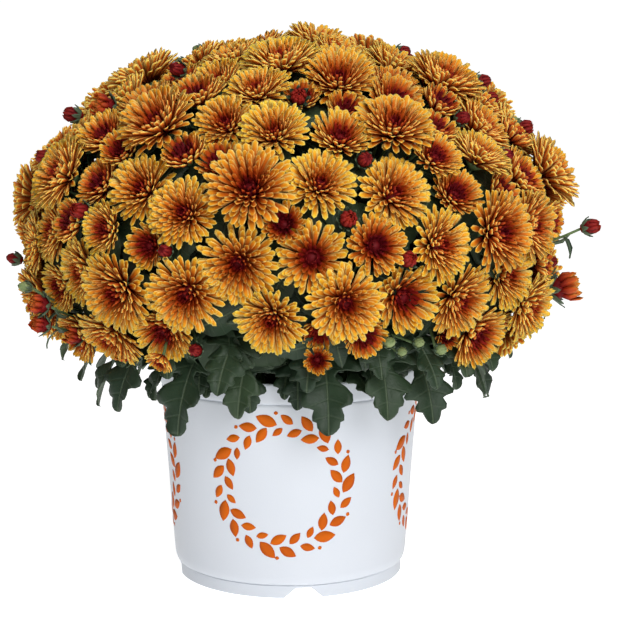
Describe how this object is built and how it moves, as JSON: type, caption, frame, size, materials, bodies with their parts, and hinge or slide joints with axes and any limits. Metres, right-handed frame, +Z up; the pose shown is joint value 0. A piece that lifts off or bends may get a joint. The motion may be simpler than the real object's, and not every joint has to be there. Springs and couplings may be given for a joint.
{
  "type": "pot chrysanthemum",
  "caption": "Dome of double orange chrysanthemum blooms over lobed leaves, growing from soil in a tapered white plastic pot with a rim band and a notched foot.",
  "frame": {"origin": "centre of the pot's base, on the plane that it rests on", "axes": "+Z up along the pot's axis; -Y is the front"},
  "size_m": [0.3839, 0.362, 0.367],
  "materials": {
    "pot": "white, moulded, half glossy",
    "soil": "moist peat, matt",
    "green": "leaves and stems, matt",
    "bloom": "petals, matt, orange with dark red hearts"
  },
  "bodies": {
    "root": {"pot": "pot", "soil": "soil", "spray_01_greens": "green", "spray_01_blooms": "bloom", "spray_02_greens": "green", "spray_02_blooms": "bloom", "spray_03_greens": "green", "spray_03_blooms": "bloom", "spray_04_greens": "green", "spray_04_blooms": "bloom", "spray_05_greens": "green", "spray_05_blooms": "bloom", "spray_06_greens": "green", "spray_06_blooms": "bloom", "spray_07_greens": "green", "spray_07_blooms": "bloom", "spray_08_greens": "green", "spray_08_blooms": "bloom", "spray_09_greens": "green", "spray_09_blooms": "bloom", "spray_10_greens": "green", "spray_10_blooms": "bloom", "spray_11_greens": "green", "spray_11_blooms": "bloom", "spray_12_greens": "green", "spray_12_blooms": "bloom", "spray_13_greens": "green", "spray_13_blooms": "bloom", "spray_14_greens": "green", "spray_14_blooms": "bloom", "spray_15_greens": "green", "spray_15_blooms": "bloom", "spray_16_greens": "green", "spray_16_blooms": "bloom", "spray_17_greens": "green", "spray_17_blooms": "bloom", "spray_18_greens": "green", "spray_18_blooms": "bloom", "spray_19_greens": "green", "spray_19_blooms": "bloom", "spray_20_greens": "green", "spray_20_blooms": "bloom", "spray_21_greens": "green", "spray_21_blooms": "bloom", "spray_22_greens": "green", "spray_22_blooms": "bloom", "spray_23_greens": "green", "spray_23_blooms": "bloom", "spray_24_greens": "green", "spray_24_blooms": "bloom", "spray_25_greens": "green", "spray_25_blooms": "bloom", "spray_26_greens": "green", "spray_26_blooms": "bloom", "spray_27_greens": "green", "spray_27_blooms": "bloom", "spray_28_greens": "green", "spray_28_blooms": "bloom"}
  },
  "joints": []
}
